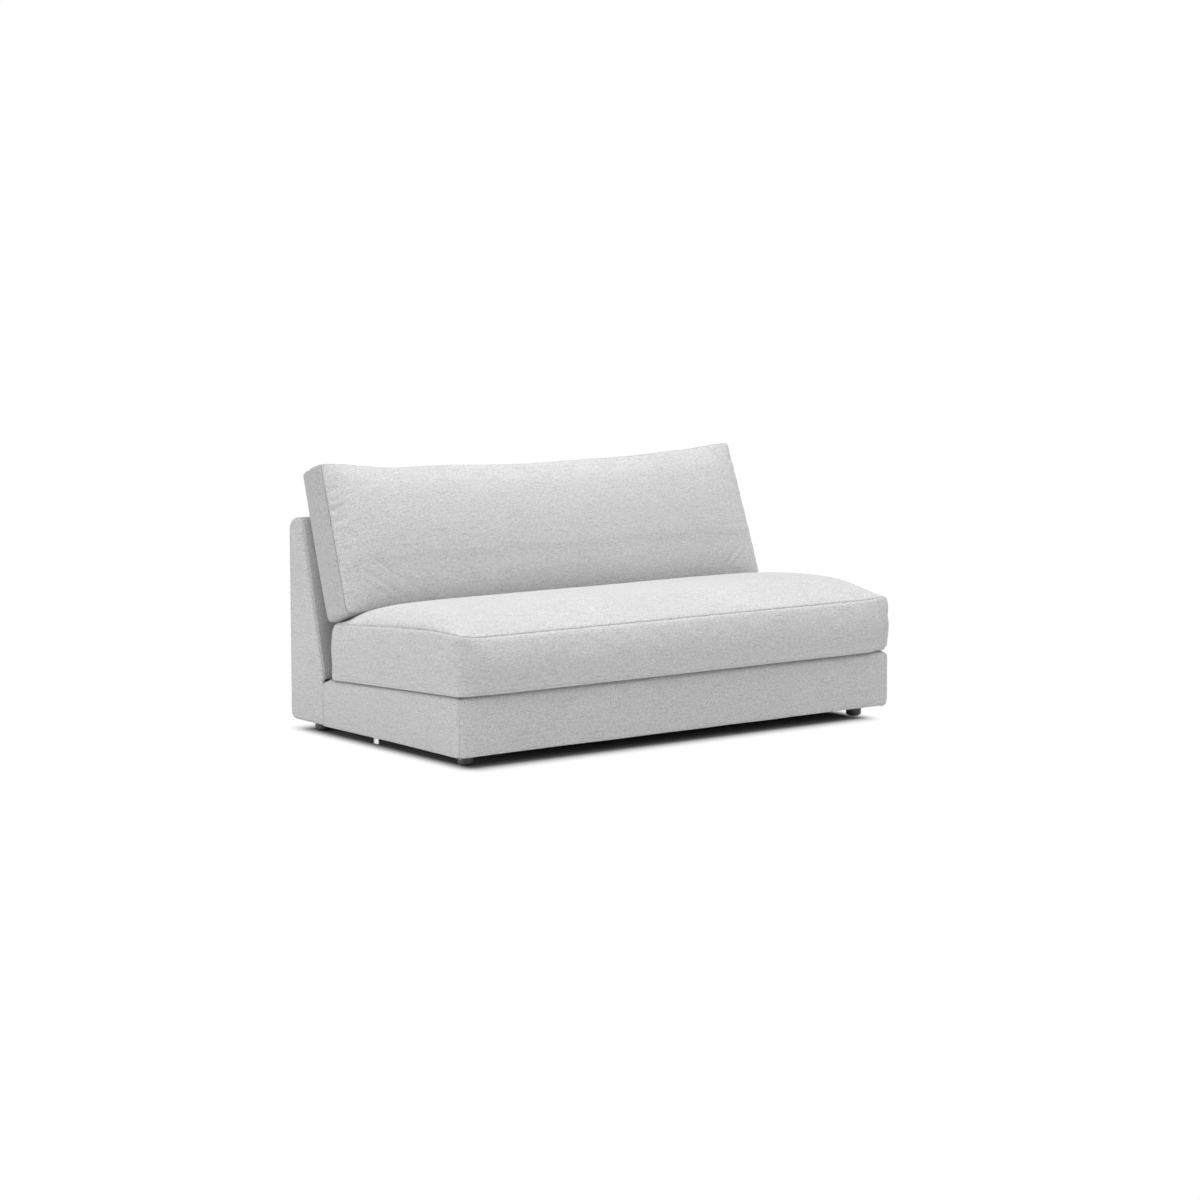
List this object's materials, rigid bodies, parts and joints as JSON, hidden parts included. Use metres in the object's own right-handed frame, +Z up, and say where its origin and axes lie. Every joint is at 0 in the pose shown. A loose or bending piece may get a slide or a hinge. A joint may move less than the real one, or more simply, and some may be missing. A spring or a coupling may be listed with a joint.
{
  "type": "armless sofa module",
  "caption": "Armless two-seat sofa module with a raked back, loose bench seat cushion and loose back cushion on low round feet.",
  "frame": {"origin": "on the floor, under the middle of the sofa's box", "axes": "+X along the sofa's width, to the right as seen from the front; +Y from front to back; +Z up"},
  "size_m": [1.74, 0.9806, 0.8752],
  "materials": {
    "upholstery": "heathered linen-look weave, matte",
    "foam": "open-cell foam, matte",
    "zip": "woven zip tape with nylon coil",
    "zip_metal": "die-cast slider, satin",
    "dust_cloth": "black non-woven, matte",
    "insulator_cloth": "needled jute, matte",
    "webbing": "elastic woven strap",
    "glide": "nylon, matte",
    "zinc_steel": "zinc plated",
    "spring_steel": "oiled spring steel",
    "connector_metal": "pale grey powder coat",
    "foot_wood": "near-black stained wood, satin",
    "plywood": "raw plywood",
    "frame_wood": "raw kiln-dried hardwood"
  },
  "bodies": {
    "frame": {"back_dust_cover": "dust_cloth", "back_foot_blocks": "frame_wood", "back_foot_rail": "frame_wood", "back_inside_cover": "upholstery", "back_left_cover": "upholstery", "back_left_end": "plywood", "back_lumbar_rail": "frame_wood", "back_outside_cover": "upholstery", "back_pad": "foam", "back_ribs": "plywood", "back_right_cover": "upholstery", "back_right_end": "plywood", "back_sill_rail": "frame_wood", "back_top_rail": "frame_wood", "back_webbing": "webbing", "base_corner_blocks": "frame_wood", "base_cross_rails": "frame_wood", "base_dust_cover": "dust_cloth", "base_front_cover": "upholstery", "base_front_rail": "frame_wood", "base_left_cover": "upholstery", "base_left_rail": "frame_wood", "base_rear_rail": "frame_wood", "base_right_cover": "upholstery", "base_right_rail": "frame_wood", "connector_hook": "connector_metal", "connector_receiver": "connector_metal", "connector_screws": "zinc_steel", "deck_cover": "upholstery", "deck_insulator": "insulator_cloth", "deck_pad": "foam", "feet": "foot_wood", "foot_glides": "glide", "foot_hanger_bolts": "zinc_steel", "foot_plates": "zinc_steel", "joining_bolts": "zinc_steel", "joining_nuts": "zinc_steel", "seat_springs": "spring_steel", "spring_clips": "zinc_steel", "spring_tie_wires": "spring_steel"},
    "seat_cushion": {"seat_bottom_panel": "upholstery", "seat_core": "foam", "seat_front_boxing": "upholstery", "seat_rear_boxing": "upholstery", "seat_side_boxings": "upholstery", "seat_top_panel": "upholstery", "seat_zip_tape": "zip"},
    "back_cushion": {"cushion_bottom_boxing": "upholstery", "cushion_core": "foam", "cushion_front_panel": "upholstery", "cushion_rear_panel": "upholstery", "cushion_side_boxings": "upholstery", "cushion_top_boxing": "upholstery", "cushion_zip_tape": "zip"},
    "seat_zip_slider": {"seat_zip_slider": "zip_metal"},
    "back_zip_slider": {"cushion_zip_slider": "zip_metal"}
  },
  "joints": [
    {"name": "seat_cushion_pull", "type": "slide", "parent": "frame", "child": "seat_cushion", "axis": [0, -0.999, 0.0436], "range_m": [0, 0.35]},
    {"name": "back_cushion_lift", "type": "slide", "parent": "frame", "child": "back_cushion", "axis": [0, 0, 1], "range_m": [0, 0.3]},
    {"name": "seat_zip_slide", "type": "slide", "parent": "seat_cushion", "child": "seat_zip_slider", "axis": [1, 0, 0], "range_m": [0, 1.368]},
    {"name": "back_zip_slide", "type": "slide", "parent": "back_cushion", "child": "back_zip_slider", "axis": [1, 0, 0], "range_m": [0, 1.268]}
  ]
}
